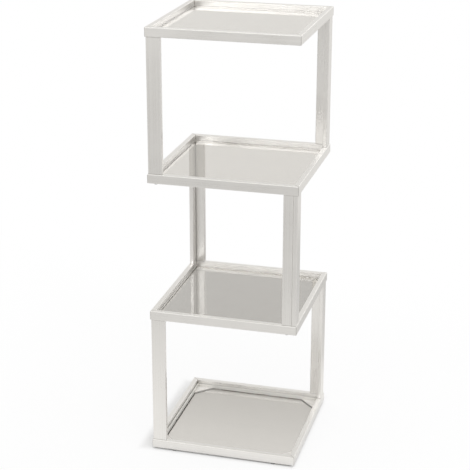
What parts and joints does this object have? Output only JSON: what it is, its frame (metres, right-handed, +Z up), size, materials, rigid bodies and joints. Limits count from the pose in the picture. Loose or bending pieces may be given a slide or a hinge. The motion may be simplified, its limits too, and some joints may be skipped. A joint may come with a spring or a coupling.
{
  "type": "metal shelving unit",
  "caption": "Open zig-zag shelving unit: square metal trays with tinted glass bottoms, stacked on angle posts that switch diagonal corners from tier to tier.",
  "frame": {"origin": "on the floor, under the centre of the square trays", "axes": "+X to the right and +Y to the back as seen in the picture, +Z up"},
  "size_m": [0.4, 0.4, 1.178],
  "materials": {
    "rail_metal": "satin anodised, fine lengthwise brushing",
    "post_metal": "satin anodised, faint lengthwise drawing lines",
    "tinted_glass": "polished grey-tinted safety glass",
    "pale_strip": "satin white extruded strip",
    "carrier_metal": "plain grey anodised",
    "corner_plate_metal": "satin pressed sheet",
    "key_metal": "plain cast",
    "plug_plastic": "moulded",
    "screw_steel": "zinc plated",
    "dowel_steel": "ground",
    "foot_plastic": "moulded",
    "clear_pad": "clear soft film dot"
  },
  "bodies": {
    "root": {"bottom_tray_back_rail": "rail_metal", "bottom_tray_corner_keys": "key_metal", "bottom_tray_corner_plates": "corner_plate_metal", "bottom_tray_front_rail": "rail_metal", "bottom_tray_glass": "tinted_glass", "bottom_tray_glass_carriers": "carrier_metal", "bottom_tray_glass_strips": "pale_strip", "bottom_tray_left_rail": "rail_metal", "bottom_tray_right_rail": "rail_metal", "feet": "foot_plastic", "glass_pads": "clear_pad", "lower_posts_back_right_narrow_bar": "post_metal", "lower_posts_back_right_wide_bar": "post_metal", "lower_posts_dowels": "dowel_steel", "lower_posts_end_plugs": "plug_plastic", "lower_posts_front_left_narrow_bar": "post_metal", "lower_posts_front_left_wide_bar": "post_metal", "lower_posts_screws": "screw_steel", "lower_tray_back_rail": "rail_metal", "lower_tray_corner_keys": "key_metal", "lower_tray_front_rail": "rail_metal", "lower_tray_glass": "tinted_glass", "lower_tray_glass_carriers": "carrier_metal", "lower_tray_left_rail": "rail_metal", "lower_tray_right_rail": "rail_metal", "middle_posts_back_left_narrow_bar": "post_metal", "middle_posts_back_left_wide_bar": "post_metal", "middle_posts_dowels": "dowel_steel", "middle_posts_end_plugs": "plug_plastic", "middle_posts_front_right_narrow_bar": "post_metal", "middle_posts_front_right_wide_bar": "post_metal", "middle_posts_screws": "screw_steel", "top_tray_back_rail": "rail_metal", "top_tray_corner_keys": "key_metal", "top_tray_front_rail": "rail_metal", "top_tray_glass": "tinted_glass", "top_tray_glass_carriers": "carrier_metal", "top_tray_left_rail": "rail_metal", "top_tray_right_rail": "rail_metal", "upper_posts_back_right_narrow_bar": "post_metal", "upper_posts_back_right_wide_bar": "post_metal", "upper_posts_dowels": "dowel_steel", "upper_posts_end_plugs": "plug_plastic", "upper_posts_front_left_narrow_bar": "post_metal", "upper_posts_front_left_wide_bar": "post_metal", "upper_posts_screws": "screw_steel", "upper_tray_back_rail": "rail_metal", "upper_tray_corner_keys": "key_metal", "upper_tray_front_rail": "rail_metal", "upper_tray_glass": "tinted_glass", "upper_tray_glass_carriers": "carrier_metal", "upper_tray_left_rail": "rail_metal", "upper_tray_right_rail": "rail_metal"}
  },
  "joints": []
}
